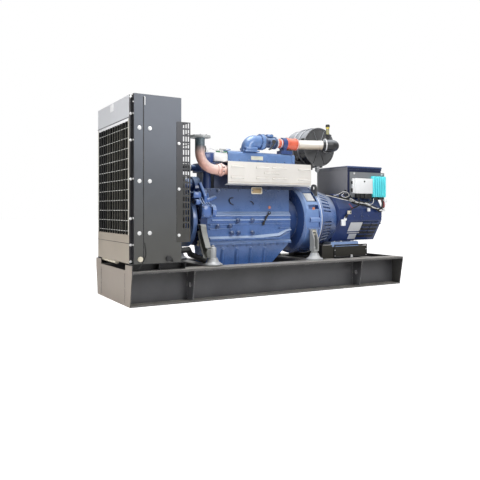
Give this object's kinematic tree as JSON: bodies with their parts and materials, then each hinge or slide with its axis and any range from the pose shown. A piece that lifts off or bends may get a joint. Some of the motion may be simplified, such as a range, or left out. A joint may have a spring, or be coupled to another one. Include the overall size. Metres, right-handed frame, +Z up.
{
  "type": "gas engine generator set",
  "caption": "Open skid-mounted gas engine generator set: front radiator with guard, in-line engine, vented adapter, alternator and terminal box.",
  "frame": {"origin": "centre of the skid's footprint, on the ground", "axes": "+X from the radiator to the alternator, +Y from the exhaust side to the far side, +Z up"},
  "size_m": [3, 1, 1.744],
  "materials": {
    "skid_paint": "satin black enamel on welded steel plate",
    "radiator_paint": "smooth grey-black coating on folded sheet",
    "guard_wire": "black coated wire",
    "core_fins": "dark coated tubes and fins",
    "bare_metal": "bare metal",
    "fan_black": "black moulded blades",
    "engine_blue": "blue enamel on cast iron",
    "engine_black": "black enamel",
    "rubber_black": "black rubber",
    "hose_red": "red silicone hose",
    "mount_grey": "grey enamel on castings",
    "hot_steel": "heat-tinted steel",
    "shield_sheet": "embossed aluminised sheet",
    "box_white": "white moulded housing",
    "dipstick_black": "black coated rod",
    "air_pipe_metal": "drawn aluminium pipe",
    "filter_black": "black moulded filter housing",
    "alternator_blue": "navy enamel",
    "block_black": "black enamel blocks",
    "plate_grey": "dark grey sheet",
    "unit_cyan": "bright blue moulded housing",
    "loom_black": "black wrapped loom"
  },
  "bodies": {
    "root": {"skid_beams": "skid_paint", "skid_end_plates": "skid_paint", "skid_end_caps": "skid_paint", "skid_gussets": "skid_paint", "skid_cross_members": "skid_paint", "radiator_rails": "skid_paint", "radiator_sides": "radiator_paint", "radiator_tanks": "radiator_paint", "header_panel": "radiator_paint", "lower_panel": "radiator_paint", "front_stiles": "radiator_paint", "fan_shroud": "radiator_paint", "fan_guard_sides": "radiator_paint", "fan_guard_rear": "radiator_paint", "front_guard": "guard_wire", "radiator_core": "core_fins", "filler_cap": "bare_metal", "radiator_bolts": "bare_metal", "inspection_cover": "bare_metal", "fan": "fan_black", "timing_case": "engine_blue", "cylinder_block": "engine_blue", "oil_pan": "engine_blue", "cylinder_head": "engine_blue", "valve_cover": "engine_blue", "flywheel_housing": "engine_blue", "adapter_ring": "engine_blue", "crank_damper": "engine_blue", "fan_drive": "engine_blue", "intake_elbow": "engine_blue", "alternator_feet": "engine_blue", "coolant_pump": "engine_blue", "thermostat_housing": "engine_blue", "throttle_body": "engine_blue", "starter_motor": "engine_black", "oil_filters": "engine_black", "gas_mixer": "engine_black", "lifting_eye": "engine_black", "filter_bracket": "engine_black", "fan_belt": "rubber_black", "coolant_hoses": "rubber_black", "filter_elbow": "rubber_black", "intake_couplings": "hose_red", "front_mounts": "mount_grey", "rear_mounts": "mount_grey", "exhaust_manifold": "hot_steel", "exhaust_pipe": "hot_steel", "heat_shield": "shield_sheet", "ignition_box": "box_white", "white_unit": "box_white", "dipstick": "dipstick_black", "air_pipe": "air_pipe_metal", "air_filter": "filter_black", "alternator_body": "alternator_blue", "alternator_end_cover": "alternator_blue", "terminal_box": "alternator_blue", "alternator_blocks": "block_black", "control_plate": "plate_grey", "cyan_unit": "unit_cyan", "wiring_loom": "loom_black"}
  },
  "joints": []
}
